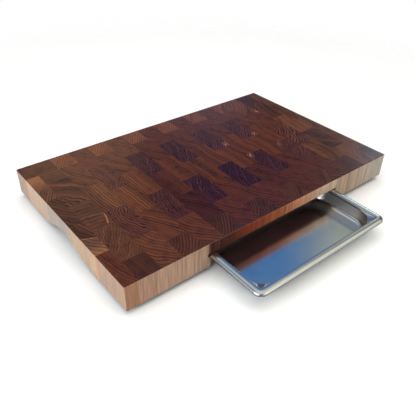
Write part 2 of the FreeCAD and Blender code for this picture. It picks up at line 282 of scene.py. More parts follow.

# Long grain: the left end stick by stick, and the front face and the strip over the
# pan from left to right. The front face's far right end is painted sheen. The strip is painted
# shade at its left, where the pan keeps light off it, and painted light thrown up from the pan at
# its right.
END_GRAIN = ((184, 152, 131), (213, 180, 150), (185, 168, 154), (212, 175, 141), (196, 159, 132))
FRONT_CORNER = (172, 124, 90)
FRONT_TONES_AND_SHEEN = [
    (0.08, linear((194, 150, 124))),
    (0.2, linear((205, 168, 141))),
    (0.85, linear((205, 173, 146))),
    (0.97, linear((200, 188, 174))),
]
STRIP_SHADE_AND_BOUNCE = [
    (0.0, linear((52, 24, 26))),
    (0.12, linear((70, 32, 30))),
    (0.29, linear((158, 66, 35))),
    (0.5, linear((208, 114, 69))),
    (0.7, linear((250, 178, 136))),
    (0.88, linear((255, 220, 190))),
]

# The strip's two ends, and the height above which the wood is over the pan.
LIP = (-165.0, 165.0)
OVER_PAN = 27.0

# How dark a ring is from its inner edge to its outer one, and the finer rings in it.
RING_EDGE = ((0.0, 0.3), (0.1, 0.0), (0.5, 0.10), (0.78, 0.90), (0.92, 1.0), (1.0, 0.3))
FINE_EDGE = ((0.0, 0.1), (0.5, 0.0), (0.8, 1.0), (1.0, 0.1))

# A ramp carries 0 to 1, so the piths and habits of a stick are divided by these.
PITH_REACH = 1000.0
WIDEST = 20.0

# Slices are counted from 0 at the left end: the first that PANEL describes, and the
# one where its piths stand as listed.
PANEL_START = 2
MIDDLE_SLICE = 7

# How far the sapwood reaches into the fourth block of a slice, and how pale it is.
SAP_CORNERS = {8: (3.9, 0.8), 9: (16.0, 0.8), 10: (16.0, 0.8), 11: (16.0, 0.8), 12: (16.0, 0.5)}


class Stick(NamedTuple):
    """How one walnut stick of the panel looks across its end.

    The pith is where its rings centre, in millimetres across and along the slice, and
    ring is their spacing.  Wave and ripple bend them, lines is how dark they are, even
    how much alike, and glow how much of the streak colour shows between them.  Drift
    is how far the pith moves from one slice to the next.
    """

    tone: str
    pith: tuple
    ring: float
    wave: float
    ripple: float = 0.5
    lines: float = 0.7
    even: float = 0.5
    glow: float = 0.2
    drift: tuple = (0, 0)


PANEL = (
    Stick("honey", (184, 140), 5.2, 1.6, 0.6, 0.65, 0.6, 0.5, (6, 2)),
    Stick("cocoa", (190, 10), 7.0, 3.0, 0.7, 1.0, 0.25, 0.2, (0, 3)),
    Stick("ember", (330, 178), 5.6, 2.4, 0.8, 0.95, 0.4, 0.38, (-8, 3)),
    Stick("plum", (190, 350), 5.2, 4.5, 2.4, 0.85, 0.75, 0.7, (20, 17)),
    Stick("cocoa", (141, 278), 7.5, 3.4, 0.7, 1.0, 0.3, 0.25, (2, -2)),
)
END_SLICES = {
    0: (
        Stick("bark", (10, -300), 4.6, 2.0),
        Stick("bark", (150, 210), 4.6, 3.0, ripple=0.8, lines=0.9, glow=0.6),
        Stick("umber", (150, 90), 8.0, 4.0, ripple=0.8, lines=1.0, even=0.4, glow=0.5),
        Stick("umber", (150, 205), 7.5, 4.0, ripple=0.8, lines=1.0, glow=0.9),
        Stick("ember", (230, 320), 6.0, 3.0, lines=0.5),
    ),
    1: (
        Stick("umber", (240, 20), 4.4, 3.0, ripple=1.2, lines=0.6, even=0.6),
        Stick("bark", (150, 190), 4.6, 4.0, ripple=1.8, lines=0.65, even=0.6, glow=0.4),
        Stick("bark", (32, 92), 10.0, 4.5, ripple=1.2, lines=0.75, glow=0.4),
        Stick("umber", (112, 168), 9.0, 6.0, ripple=1.6, lines=0.8, even=0.1, glow=0.8),
        Stick("bark", (20, 760), 5.0, 2.0, lines=0.9, glow=0.3),
    ),
    13: (
        Stick("umber", (240, 20), 5.6, 3.0, ripple=0.8, lines=0.9, even=0.6, glow=0.4),
        Stick("gold", (104, 100), 16.0, 3.0, lines=0.9, even=0.1),
        Stick("plum", (170, 290), 6.5, 5.0, ripple=2.4, lines=1.0, even=0.8, glow=0.9),
        Stick("cocoa", (190, 200), 12.0, 2.0, lines=0.4, even=0.1),
        Stick("plum", (170, 460), 5.4, 4.0, ripple=1.6, lines=1.0, even=0.4, glow=1.0),
    ),
    14: (
        Stick("umber", (100, -40), 5.0, 2.5, lines=0.8, even=0.3),
        Stick("umber", (230, 150), 6.5, 4.0, ripple=1.6, lines=0.9, glow=1.0),
        Stick("honey", (250, 230), 6.0, 2.5, lines=0.9, glow=0.4),
        Stick("umber", (150, 190), 9.0, 5.0, ripple=1.6, lines=1.0, even=0.3, glow=0.6),
        Stick("bark", (240, 500), 6.5, 3.0, ripple=0.8, lines=0.8, even=0.3, glow=0.6),
    ),
    15: (
        Stick("umber", (200, 60), 6.0, 2.0, lines=0.5),
        Stick("bark", (180, 180), 5.0, 3.0, lines=0.4),
        Stick("bark", (230, 240), 6.0, 2.0, lines=0.35),
        Stick("bark", (180, 330), 5.5, 3.0, lines=0.4),
        Stick("bark", (150, 420), 6.0, 2.0, lines=0.4),
    ),
}

# How far the fourth stick goes towards the night tone, slice by slice, and other
# blocks that go towards a tone of their own.
NIGHT_SHARES = (0.2, 0.05, 0.5, 0.7, 1.0, 0.9, 1.25, 0.65, 0.85, 0.5, 0.35)
ODD_BLOCKS = {
    (4, 1): ("ochre", 0.45),
    (5, 0): ("umber", 1.1),
    (5, 1): ("wine", 0.9),
    (5, 2): ("wine", 0.5),
    (5, 4): ("ochre", 0.5),
    (7, 0): ("umber", 1.15),
    (9, 1): ("wine", 0.35),
    (11, 4): ("ochre", 0.2),
    (12, 1): ("ochre", 0.2),
}


def mixed(first, second, share):
    """A colour between two others, or past the second when the share is over 1."""
    return tuple(a + (b - a) * share for a, b in zip(first, second))


def tone_set(tints, kind):
    """The light, dark and streak colours of one kind of walnut, as the panel has them."""
    light = [part * 255.0 for part in getattr(tints, kind)]
    change = [now / was for now, was in zip(light, TONES[kind][0])]
    return tuple(tuple(a * b for a, b in zip(shade, change)) for shade in TONES[kind])


def stick_tones(tints, index, number, stick):
    """The light, dark and streak colours of one block, from its stick and its slice."""
    tones = tone_set(tints, stick.tone)
    if index in END_SLICES:
        return tones
    toward, share = "ochre", max(6 - index, 0) * 0.13
    if number == 3:
        toward, share = "night", NIGHT_SHARES[index - PANEL_START]
    elif (index, number) in ODD_BLOCKS:
        toward, share = ODD_BLOCKS[index, number]
    elif number == 0 and index % 2 == 1:
        toward, share = "umber", 0.9
    elif number == 0:
        toward, share = "plum", index * 0.05
    return tuple(mixed(a, b, share) for a, b in zip(tones, tone_set(tints, toward)))


class Walnut(Finish):
    """Oiled walnut for one slice, laid out in millimetres.

    u runs across the slice and v along it.  Every second slice is turned end for
    end.  rise is the height, moved on from slice to slice so that no two are alike.
    """

    def __init__(self, tints, index, low, high):
        super().__init__("walnut_%02d" % (index + 1))
        self.tints = tints
        self.index = index
        self.sticks = END_SLICES.get(index, PANEL)
        place = self.place()
        self.x, self.y, self.z = self.split(self.scaled(place, 1.0 / MM))
        if index % 2 == 0:
            self.u = self.x - low
            self.v = DEEP / 2 - self.y
        else:
            self.u = high - self.x
            self.v = self.y + DEEP / 2
        self.rise = self.z + 55.0 * index
        self.across = self.v / DEEP
        tones = [stick_tones(tints, index, *numbered) for numbered in enumerate(self.sticks)]
        self.light = self.by_stick([linear(t[0]) for t in tones])
        self.dark = self.by_stick([linear(t[1]) for t in tones])
        self.streak = self.by_stick([linear(t[2]) for t in tones])

    def by_stick(self, values):
        """A colour or three numbers that change from stick to stick."""
        stops = [(start / DEEP, value) for start, value in zip(STICK_STARTS, values)]
        return self.ramp(self.across, stops, "CONSTANT")

    def habits(self):
        """Three triples of numbers for each stick, scaled to what a ramp can carry."""
        turns = self.index - MIDDLE_SLICE
        span = 2 * PITH_REACH
        piths = []
        for stick in self.sticks:
            pith_u = stick.pith[0] + stick.drift[0] * turns
            pith_v = stick.pith[1] + stick.drift[1] * turns
            centre = ((pith_u + PITH_REACH) / span, (pith_v + PITH_REACH) / span)
            piths.append((*centre, stick.ring / WIDEST))
        bends = [(s.wave / WIDEST, s.ripple / WIDEST, s.lines) for s in self.sticks]
        seeds = [(number * 0.2, s.glow, s.even) for number, s in enumerate(self.sticks)]
        return [self.split(self.by_stick(values)) for values in (piths, bends, seeds)]

    def heartwood(self):
        """Rings round each stick's pith, with dark edges and glowing streaks between."""
        (pith_u, pith_v, ring), (wave, ripple, lines), (seed, glow, even) = self.habits()
        du = self.u - (pith_u * (2 * PITH_REACH) - PITH_REACH)
        dv = self.v - (pith_v * (2 * PITH_REACH) - PITH_REACH)
        slow = self.join(self.u / 24.0, self.v / 30.0, self.rise / 190.0 + seed * 60.0)
        quick = self.join(self.u / 8.0, self.v / 10.0, self.rise / 90.0 + seed * 90.0)
        warp = (self.noise(slow, 1.0) - 0.5) * 3.0 * wave
        twist = (self.noise(quick, 1.0) - 0.5) * 3.0 * ripple
        reach = (du * du + dv * dv) ** 0.5 + (warp + twist) * WIDEST
        rings = reach / (ring * WIDEST)
        which = rings.whole()
        within = rings.part()
        strong = self.chance(which + seed * 500.0)
        strong = even + (1.0 - even) * strong * strong * 1.5
        edge = self.grey(within, RING_EDGE)
        fine = self.grey((rings * 3.0 + 0.4).part(), FINE_EDGE)
        line = edge * strong * lines + fine * 0.22 * lines

        uneven = 1.0 - even
        cloud = self.noise(slow, 3.0, 1.7)
        broad = self.noise(self.join(rings * 0.33, seed * 40.0, 0.5), 2.0)
        deep = cloud.eased(0.42, 0.72) * 0.45 + (1.0 - broad).eased(0.50, 0.66) * uneven * 0.6
        tone = self.blend(deep.held(), self.light, self.dark)
        hue = self.chance(which * 1.7 + seed * 900.0 + 31.0)
        flame = hue.eased(0.42, 0.95) * (1.0 - even * 0.5) + even * 0.32
        flame = flame + broad.eased(0.50, 0.66) * uneven * 0.8
        flame = flame * glow * (1.0 - line) * (1.0 - within.eased(0.15, 0.60) * even)
        tone = self.blend(flame.held(), tone, self.streak)
        self.seed = seed
        self.twist = twist
        self.line = line
        return self.blend(line.held(), tone, self.dark)

    def sapwood(self, tone):
        """A pale, streaky corner on the dark block."""
        start = STICK_STARTS[3]
        spread, share = SAP_CORNERS[self.index]
        corner = (self.u * self.u + ((self.v - start) * 0.7) ** 2.0) ** 0.5
        slant = self.join((self.u + self.v * 0.4) / 2.6, (self.v - self.u) / 14.0, self.seed * 10.0)
        streaks = self.noise(slant, 1.0)
        sap = 1.0 - (corner + (streaks - 0.5) * 22.0).eased(spread * 0.6, spread)
        sap = sap * self.v.above(start) * (1.0 - self.line.held() * 0.8) * streaks.eased(0.36, 0.56)
        return self.blend(sap.held() * share, tone, ink(self.tints.sapwood))

    def amber_spot(self, tone):
        """A small lozenge of amber at a glue line."""
        spot = 1.0 - (self.u / 9.0 + abs(self.v - 323.0) / 12.0).eased(0.5, 1.1)
        return self.blend(spot * 0.8, tone, solid(AMBER))

    def crack(self, tone):
        """A bright curved crack that ends at a glue line."""
        fall = (180.0 - self.v) / 33.0
        crack = 1.0 - abs(self.u - 2.0 - fall * fall * 9.0 + self.twist * 12.0).eased(0.4, 1.6)
        crack = crack * self.v.eased(147.0, 152.0) * (1.0 - self.v.eased(172.0, 181.0))
        return self.blend(crack * 0.7, tone, solid(CRACK))

    def knot(self, tone):
        """A rough grey patch with amber rims, and an amber end on another block."""
        slant = self.v - 272.0 - self.u * 0.45
        patch = slant.eased(0.0, 2.0) * (1.0 - self.v.above(STICK_STARTS[4]))
        warm = (1.0 - abs(slant - 1.2).eased(0.6, 2.2)) + self.v.eased(296.0, 322.0) * 0.55
        rough = self.blend(warm.held(), solid(KNOT), solid(AMBER))
        tone = self.blend(patch * (1.0 - self.line.held() * 0.8), tone, rough)
        pale_end = self.v.above(STICK_STARTS[1]) * (1.0 - self.v.eased(58.0, 112.0))
        pale_end = pale_end * (1.0 - self.line.held() * 0.6)
        return self.blend(pale_end * 0.65, tone, solid(AMBER))

    def left_end(self, tone):
        """Long grain on the board's left end, with two honey lines."""
        grain = self.by_stick([linear(shade) for shade in END_GRAIN])
        grain = self.blend(self.v.above(DEEP - 0.5), grain, solid(FRONT_CORNER))
        pale = self.blend(0.86, tone, grain)
        for start in (STICK_STARTS[1], STICK_STARTS[4]):
            stripe = 1.0 - abs(self.v - start - 1.0).eased(1.5, 4.0)
            pale = self.blend(stripe * 0.8, pale, ink(self.tints.honey_line))
        return pale

    def long_side(self, tone, lip, bars):
        """Long grain on the other sides, and the strip over the pan with its painted shade, painted
        light from the pan and painted glints.
        """
        # The front face greys at its far right end with painted sheen.
        face = self.ramp((self.x + LONG / 2) / LONG, FRONT_TONES_AND_SHEEN)
        # Painted shade at the strip's left end, turning to painted light thrown up from the pan at
        # its right.
        strip = self.ramp((self.x - LIP[0]) / (LIP[1] - LIP[0]), STRIP_SHADE_AND_BOUNCE)
        pale = self.blend(0.80 + lip * 0.06, tone, self.blend(lip, face, strip))
        # Painted glints of light from the pan, in bars over the strip's left half.
        glint = (bars - 0.50) * 4.0 * lip * (0.5 - self.x / 200.0).held()
        return self.blend(glint.held(), pale, solid(GLINT))

    def wood(self):
        """The whole material: end grain above and below, long grain on the sides."""
        index, x, y, z, u, v = self.index, self.x, self.y, self.z, self.u, self.v
        tone = self.heartwood()
        if index in SAP_CORNERS:
            tone = self.sapwood(tone)
        marks = {0: self.knot, 1: self.crack, 13: self.amber_spot}
        if index in marks:
            tone = marks[index](tone)

        fibre = self.join(u / 0.55, v / 0.55, z / 9.0)
        speck = self.noise(fibre, 1.0)
        sockets = {"Vector": fibre, "Scale": 0.55}
        pores = self.add("ShaderNodeTexVoronoi", {"feature": "F1"}, sockets)
        pore = 1.0 - pores.eased(0.10, 0.30)
        tone = self.blend(pore * 0.45, tone, self.dark)

        facing = self.split(self.add("ShaderNodeNewGeometry", out="Normal"))[2]
        side = 1.0 - abs(facing).eased(0.35, 0.85)
        lip = (x - LIP[0]).eased(-3.0, 5.0) * (LIP[1] - x).eased(-1.0, 3.0)
        lip = lip * z.above(OVER_PAN) * (0.0 - y).above(0.0) * side
        streaky = self.noise(self.join(u / 1.8, v / 1.8, z / 70.0 + index * 3.0), 2.0)
        bars = self.noise(self.join(u / 5.0, v / 5.0, z / 120.0 + index * 7.0), 2.0)
        if index == 0:
            pale, contrast = self.left_end(tone), 0.3
        else:
            pale, contrast = self.long_side(tone, lip, bars), 1.2
        pale = self.blend((streaky - 0.42) * 1.1 + (bars - 0.44) * contrast, pale, self.dark)
        tone = self.blend(side, tone, pale)
        # Painted bounce light: wood over the pan that faces down goes reddish, and the steel
        # mirrors it.
        ceiling_bounce = (0.0 - facing).eased(0.5, 0.9) * z.above(OVER_PAN)
        ceiling_bounce = ceiling_bounce * (LIP[1] + 1.0 - abs(x)).above(0.0)
        tone = self.blend(ceiling_bounce * 0.6, tone, ink(self.tints.ceiling_bounce))
        shade = self.noise(self.join(u / 1.4, v / 1.4, z / 40.0 + self.rise / 300.0), 2.0)
        tone = self.blend((shade - 0.5) * 0.8 + 0.10, tone, self.dark)

        height = speck * 0.3 + shade * 0.3 - pore * 0.5 - self.line * 0.15
        gloss = 0.17 + shade * 0.08 + pore * 0.15 + side * 0.20 + lip * 0.30
        return self.surface(
            Base_Color=tone,
            Roughness=gloss,
            IOR=1.45,
            Specular_IOR_Level=0.3,
            Normal=self.bump(height, 0.12, 0.0004),
        )


# ---- other finishes


def mottled(finish, factor, colour, change, low=0.3, high=0.7):
    """A colour of the panel, dull where the factor is low and bright where it is high."""
    shade = ink(colour)[:3]
    dull = tuple(part * (1.0 - change) for part in shade)
    bright = tuple(part * (1.0 + change) for part in shade)
    return finish.ramp(factor, [(low, dull), (high, bright)])


# Painted shade on the hem: its dark band, from and to below the rim's top; and the width of the far
# rim that gets a painted dark reflection.
HEM_SHADE = (3.4, 7.0)
FAR_RIM = 6.5


def satin_steel(colour, hem_shade_colour):
    """Drawn stainless sheet: faint drawing lines and a soft satin, with painted shade on the hem
    and a painted dark reflection on the far rim.
    """
    finish = Finish("satin_steel")
    place = finish.place()
    x, y, z = finish.split(finish.scaled(place, 1.0 / MM))
    drawn = finish.noise(finish.join(x / 30.0, y / 1.6, z / 1.6), 2.0)
    cloud = finish.noise(finish.join(x / 40.0, y / 40.0, z / 40.0), 3.0)
    shade = (drawn * 0.5 + cloud * 0.5).held()
    colour = mottled(finish, shade, colour, 0.1, 0.2, 0.8)
    sideways, _, facing = finish.split(finish.add("ShaderNodeNewGeometry", out="Normal"))
    flat = abs(facing).eased(0.97, 0.999)
    upright = 1.0 - abs(facing).eased(0.15, 0.45)
    top = mm(PAN_HIGH[2])
    # Painted shade: a dark band on the upright sheet just under the rim's top.
    hem_shade = upright * (top - HEM_SHADE[0] - z).eased(0.0, 0.8) * (z - top + HEM_SHADE[1]).eased(0.0, 0.4)
    # Painted dark reflection on the far rim where it tilts away.
    far = sideways.eased(0.12, 0.18) * (x - mm(PAN_HIGH[0]) + FAR_RIM).above(0.0)
    colour = finish.blend((hem_shade + far).held(), colour, ink(hem_shade_colour))
    return finish.surface(
        Base_Color=colour,
        Metallic=1.0,
        Roughness=0.20 + cloud * 0.05 - flat * 0.04 + upright * 0.12,
    )


def moulded_rubber(colour):
    """Black rubber with a fine moulded grain."""
    finish = Finish("moulded_rubber")
    place = finish.place()
    grain = finish.noise(finish.scaled(place, 2400.0), 3.0)
    cloud = finish.noise(finish.scaled(place, 90.0), 2.0)
    colour = mottled(finish, cloud, colour, 0.35)
    return finish.surface(
        Base_Color=colour,
        Roughness=0.55 + grain * 0.2,
        Normal=finish.bump(grain, 0.3, 0.0002),
    )


def zinc_plate(colour):
    """Bright zinc with the faint blotches of its plating."""
    finish = Finish("zinc_plate")
    place = finish.place()
    blotch = finish.noise(finish.scaled(place, 500.0), 3.0)
    brushed = finish.noise(finish.scaled(place, 3000.0), 2.0)
    colour = mottled(finish, blotch, colour, 0.12)
    return finish.surface(
        Base_Color=colour,
        Metallic=1.0,
        Roughness=0.24 + brushed * 0.14,
        Normal=finish.bump(blotch * 0.5 + brushed * 0.5, 0.08, 0.0001),
    )


def dress(node, material):
    """Gives a CAD node one material."""
    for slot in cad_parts[node].material_slots:
        slot.material = material


# ---- shaping


class Shape(Tree):
    """A Geometry Nodes tree with named inputs, and the run that makes it a plain mesh."""

    def __init__(self, name, sizes):
        group = bpy.data.node_groups.new(name, "GeometryNodeTree")
        super().__init__(group)
        self.named = {}
        face = group.interface
        inputs = {"Geometry": "Geometry", **sizes, "Material": "Material"}
        for label, kind in inputs.items():
            socket = face.new_socket(name=label, in_out="INPUT", socket_type="NodeSocket" + kind)
            self.named[label] = socket.identifier
        face.new_socket(name="Geometry", in_out="OUTPUT", socket_type="NodeSocketGeometry")
        node = self.tree.nodes.new("NodeGroupInput")
        self.inputs = {socket.name: Wire(self, socket) for socket in node.outputs if socket.name}

    def end(self, geometry):
        """Makes the geometry real and gives it its material."""
        geometry = self.add("GeometryNodeRealizeInstances", None, {"Geometry": geometry})
        sockets = {"Geometry": geometry, "Material": self.inputs["Material"]}
        geometry = self.add("GeometryNodeSetMaterial", None, sockets)
        self.add("NodeGroupOutput", None, {"Geometry": geometry})

    def run(self, name, mesh, values):
        """Runs the tree on a mesh and returns a new object that holds the plain result."""
        base = placed(name + "_base", mesh)
        modifier = base.modifiers.new("shape", "NODES")
        modifier.node_group = self.tree
        for label, value in values.items():
            modifier[self.named[label]] = value
        graph = bpy.context.evaluated_depsgraph_get()
        result = bpy.data.meshes.new_from_object(base.evaluated_get(graph), depsgraph=graph)
        base.modifiers.clear()
        bpy.data.objects.remove(base)
        return placed(name, result)


# The rim's shoulder, inner bead and drop, the least corner radius in plan, the well's
# creases, and the steps across its floor.
SHOULDER = (8.0, 5.5)
BEAD = 1.5
INNER_EDGE = 3.2
LEAST_CORNER = 4.0
CREASE = 0.8
FLOOR_EDGE = 4.0
FLOOR_STEP = 8.0

# The flat webs in the corners: inset past the flange, drop, and corner radius.
CORNER_WEBS = (
    (0.06, 3.55, 4.5),
    (0.25, 3.80, 6.0),
    (0.28, 4.00, 12.0),
    (0.32, 4.75, 35.0),
    (0.36, 4.90, 37.0),
    (0.45, 5.20, 38.3),
    (0.60, 5.70, 38.4),
)

# In metres: what counts as touching, and what is welded.
TOUCH = 0.000001
WELD = 0.00001


def arc(centre, radii, start, end, steps):
    """Points on an arc or a quarter of an ellipse, from start to end in degrees."""
    points = []
    for step in range(steps + 1):
        angle = math.radians(start + (end - start) * step / steps)
        across = centre[0] + radii[0] * math.cos(angle)
        points.append((across, centre[1] + radii[1] * math.sin(angle)))
    return points


def pan_profile(sizes):
    """The sheet's section: inset from the outer edge, height, and the plan's corner radius."""
    top = mm(PAN_HIGH[2])
    floor = top - mm(sizes.pan_depth)
    flange = mm(sizes.pan_flange)
    centre = flange + mm(sizes.well_corner)
    skirt = top - mm(sizes.rim_drop)
    rim = [(0.0, skirt), (0.0, skirt + 0.5)]
    rim += arc((SHOULDER[0], top - SHOULDER[1]), SHOULDER, 180, 90, 12)
    rim += arc((flange - BEAD, top - BEAD), (BEAD, BEAD), 90, 0, 5)
    rim += [(flange, top - INNER_EDGE)]
    corner = mm(sizes.rim_corner)
    stations = [(inset, rise, max(corner - inset, LEAST_CORNER)) for inset, rise in rim]
    stations += [(flange + inset, top - drop, radius) for inset, drop, radius in CORNER_WEBS]
    draft = sizes.well_draft
    start = stations[-1][:2]
    meeting = start[0] + (start[1] - floor) * math.tan(draft)
    foot = mm(sizes.well_foot)
    tangent = meeting + foot * math.tan(math.pi / 4 - draft / 2)
    well = arc((tangent, floor + foot), (foot, foot), 180 + math.degrees(draft), 270, 10)
    edge = well[0]
    slope = Vector((start[0] - edge[0], start[1] - edge[1])).normalized()
    above = (edge[0] + slope[0] * CREASE, edge[1] + slope[1] * CREASE)
    below = (start[0] - slope[0] * CREASE, start[1] - slope[1] * CREASE)
    well = [below, above, *well, (tangent + CREASE, floor), (tangent + FLOOR_EDGE, floor)]
    stations += [(inset, rise, centre - inset) for inset, rise in well]
    stations += [(centre, floor, 0.0), (centre + FLOOR_STEP, floor, 0.0)]
    return stations


def pressed_pan():
    """The tree that carries a section round the pan's four corners and closes its floor."""
    sizes = {
        "Centre Along": "Float",
        "Centre Deep": "Float",
        "Reach": "Float",
        "Corner Steps": "Int",
        "Place": "Vector",
    }
    shape = Shape("pressed_pan", sizes)
    profile = shape.inputs["Geometry"]
    steps = shape.inputs["Corner Steps"]
    reach = shape.inputs["Reach"]
    component = {"component": "MESH"}
    count = shape.add("GeometryNodeAttributeDomainSize", component, {"Geometry": profile})
    turns = (steps + 1.0) * 4.0 + 1.0
    grid = {"Size X": 1.0, "Size Y": 1.0, "Vertices X": turns, "Vertices Y": count}
    sheet = shape.add("GeometryNodeMeshGrid", None, grid)
    place = shape.add("GeometryNodeInputPosition")
    x, y, _ = shape.split(place)
    column = ((x + 0.5) * (turns - 1.0) + 0.5).whole()
    row = ((y + 0.5) * (count - 1.0) + 0.5).whole()
    settings = {"data_type": "FLOAT_VECTOR", "domain": "POINT"}
    sample = {"Geometry": profile, "Value": place, "Index": row}
    station = shape.add("GeometryNodeSampleIndex", settings, sample)
    inset, rise, radius = shape.split(station)

    quarter = (column / (steps + 1.0)).whole()
    step = column - quarter * (steps + 1.0)
    angle = (quarter + step / steps) * (math.pi / 2)
    cosine = angle.sums("COSINE", angle)
    sine = angle.sums("SINE", angle)
    c = abs(cosine)
    s = abs(sine)
    half = (reach - inset).or_more(0.0)
    q = (half - radius).or_more(0.0)
    square = radius * radius - q * q * (1.0 - c * s * 2.0)
    curve = q * (c + s) + square.or_more(0.0) ** 0.5
    steep = (q * c).above(half * s - TOUCH)
    shallow = (q * s).above(half * c - TOUCH)
    flat = half / c.or_more(s)
    straight = steep.or_more(shallow)
    away = flat * straight + curve * (1.0 - straight)

    pull = 1.0 - ((inset - reach) * (1.0 / (FLOOR_STEP * MM))).held()
    along = (0.5 - (quarter - 0.5).above(0.0) * (2.5 - quarter).above(0.0)) * 2.0
    deep = (0.5 - (quarter - 1.5).above(0.0) * (3.5 - quarter).above(0.0)) * 2.0
    spot_x = along * shape.inputs["Centre Along"] * pull + cosine * away
    spot_y = deep * shape.inputs["Centre Deep"] * pull + sine * away
    changes = (
        ("GeometryNodeSetPosition", {"Position": shape.join(spot_x, spot_y, rise)}),
        ("GeometryNodeMergeByDistance", {"Distance": WELD}),
        ("GeometryNodeSetShadeSmooth", {"Shade Smooth": True}),
        ("GeometryNodeTransform", {"Translation": shape.inputs["Place"]}),
    )
    for kind, sockets in changes:
        sheet = shape.add(kind, None, {"Geometry": sheet, **sockets})
    shape.end(sheet)
    return shape


def polyline(name, points):
    """A mesh of loose points joined in a line, in metres."""
    mesh = bpy.data.meshes.new(name)
    edges = [(spot, spot + 1) for spot in range(len(points) - 1)]
    mesh.from_pydata(points, edges, [])
    return mesh


def turned(name, outline, steps):
    """A closed outline of radius and height, turned about Z."""
    sheet = bmesh.new()
    rings = []
    for turn in range(steps):
        angle = 2 * math.pi * turn / steps
        spots = [(r * math.cos(angle) * MM, r * math.sin(angle) * MM, z * MM) for r, z in outline]
        rings.append([sheet.verts.new(spot) for spot in spots])
    for turn in range(steps):
        here, there = rings[turn], rings[(turn + 1) % steps]
        for k in range(len(outline)):
            after = (k + 1) % len(outline)
            sheet.faces.new((here[k], there[k], there[after], here[after]))
    bmesh.ops.recalc_face_normals(sheet, faces=sheet.faces)
    for face in sheet.faces:
        face.smooth = True
    mesh = bpy.data.meshes.new(name)
    sheet.to_mesh(mesh)
    sheet.free()
    return mesh


# The foot's grooves below its top and rings in from its tip, each with one's section,
# then its roundings and how deep its hole is.
GROOVES = (2.6, 5.2)
GROOVE = ((0.6, 0.0), (0.35, 0.35), (-0.35, 0.35), (-0.6, 0.0))
RINGS = (2.1, 3.7)
RING = ((0.35, 0.0), (0.2, 0.35), (-0.2, 0.35), (-0.35, 0.0))
FOOT_EDGE = 1.0
WELL_EDGE = 0.3
SEAT = 5.0
FOOT_STEPS = 48


def foot_grid():
    """The tree that sets one foot under each corner of the board."""
    sizes = {"Spacing Along": "Float", "Spacing Deep": "Float", "Place": "Vector"}
    shape = Shape("foot_grid", sizes)
    grid = {
        "Size X": shape.inputs["Spacing Along"],
        "Size Y": shape.inputs["Spacing Deep"],
        "Vertices X": 2,
        "Vertices Y": 2,
    }
    points = shape.add("GeometryNodeMeshGrid", None, grid)
    sockets = {"Geometry": points, "Translation": shape.inputs["Place"]}
    points = shape.add("GeometryNodeTransform", None, sockets)
    sockets = {"Points": points, "Instance": shape.inputs["Geometry"]}
    feet = shape.add("GeometryNodeInstanceOnPoints", None, sockets)
    shape.end(feet)
    return shape


def length(name, about, default):
    """A length for the panel; the default is given in millimetres."""
    return FloatProperty(
        name=name,
        description=about,
        default=default * MM,
        min=0.1 * MM,
        precision=4,
        subtype="DISTANCE",
        unit="LENGTH",
    )


def colour(name, about, default):
    """A screen colour for the panel; the default is given from 0 to 255."""
    return FloatVectorProperty(
        name=name,
        description=about,
        default=[part / 255.0 for part in default],
        min=0.0,
        max=1.0,
        size=3,
        subtype="COLOR_GAMMA",
    )


class WalnutTints(bpy.types.PropertyGroup):
    """Colours of the walnut, one for each kind of stick and of face, and painted bounce light over
    the pan
    """

    cocoa: colour("Cocoa", "Plain brown heartwood", TONES["cocoa"][0])
    ember: colour("Ember", "Warm straight-grained heartwood", TONES["ember"][0])
    plum: colour("Plum", "Wavy reddish heartwood", TONES["plum"][0])
    honey: colour("Honey", "Light heartwood at the back edge", TONES["honey"][0])
    umber: colour("Umber", "Dark brown heartwood", TONES["umber"][0])
    wine: colour("Wine", "The one deep red block", TONES["wine"][0])
    ochre: colour("Ochre", "Yellower heartwood towards the left end", TONES["ochre"][0])
    bark: colour("Bark", "Dull brown heartwood at both ends", TONES["bark"][0])
    gold: colour("Gold", "Golden block near the right end", TONES["gold"][0])
    night: colour("Night", "The darkest, purple heartwood", TONES["night"][0])
    sapwood: colour("Sapwood", "Pale corners of the dark blocks", SAPWOOD)
    honey_line: colour("Honey Line", "Two bright streaks down the left end", HONEY_LINE)
    # Painted bounce light on the wood over the pan, not the wood's own colour.
    ceiling_bounce: colour("Recess Ceiling", "Reddish wood over the pan", CEILING_BOUNCE)


class PanSizes(bpy.types.PropertyGroup):
    """Sizes and colours of the pressed steel pan"""

    pan_depth: length("Depth", "From the rim's top down to the floor", 31.5)
    pan_flange: length("Flange", "Width of the rim, from its outer edge to the well", 12.5)
    rim_drop: length("Rim Drop", "Height of the rim's outer edge", 6.5)
    rim_corner: length("Rim Corner", "Corner radius of the rim's outer edge in plan", 13.5)
    well_corner: length("Well Corner", "Corner radius of the well in plan", 39.0)
    well_foot: length("Well Foot", "Rounding where the walls meet the floor", 9.5)
    well_draft: FloatProperty(
        name="Draft",
        description="Slope of the walls",
        default=math.radians(6.5),
        min=0.0,
        max=math.radians(30.0),
        subtype="ANGLE",
        unit="ROTATION",
    )
    sheet: length("Sheet", "Thickness of the steel", 0.8)
    corner_steps: IntProperty(
        name="Corner Steps",
        description="Faces round each corner",
        default=18,
        min=4,
    )
    steel: colour("Steel", "Colour of the satin sheet", (206, 206, 204))
    # Colour of the painted shade under the rim's outer edge and of the far rim's painted dark
    # reflection.
    hem_shade: colour("Hem", "Shade under the rim's outer edge", (62, 92, 122))


class FootSizes(bpy.types.PropertyGroup):
    """Sizes and colours of the rubber feet and their screws"""

    foot_radius: length("Radius", "Radius at the board", 16.0)
    foot_tip: length("Tip Radius", "Radius at the table", 14.0)
    foot_well: length("Well Radius", "Radius of the pocket for the screw", 8.6)
    foot_bore: length("Bore Radius", "Radius of the hole for the screw", 2.4)
    rubber: colour("Rubber", "Colour of the feet", (41, 41, 41))
    zinc: colour("Zinc", "Colour of the screws and washers", (201, 202, 202))


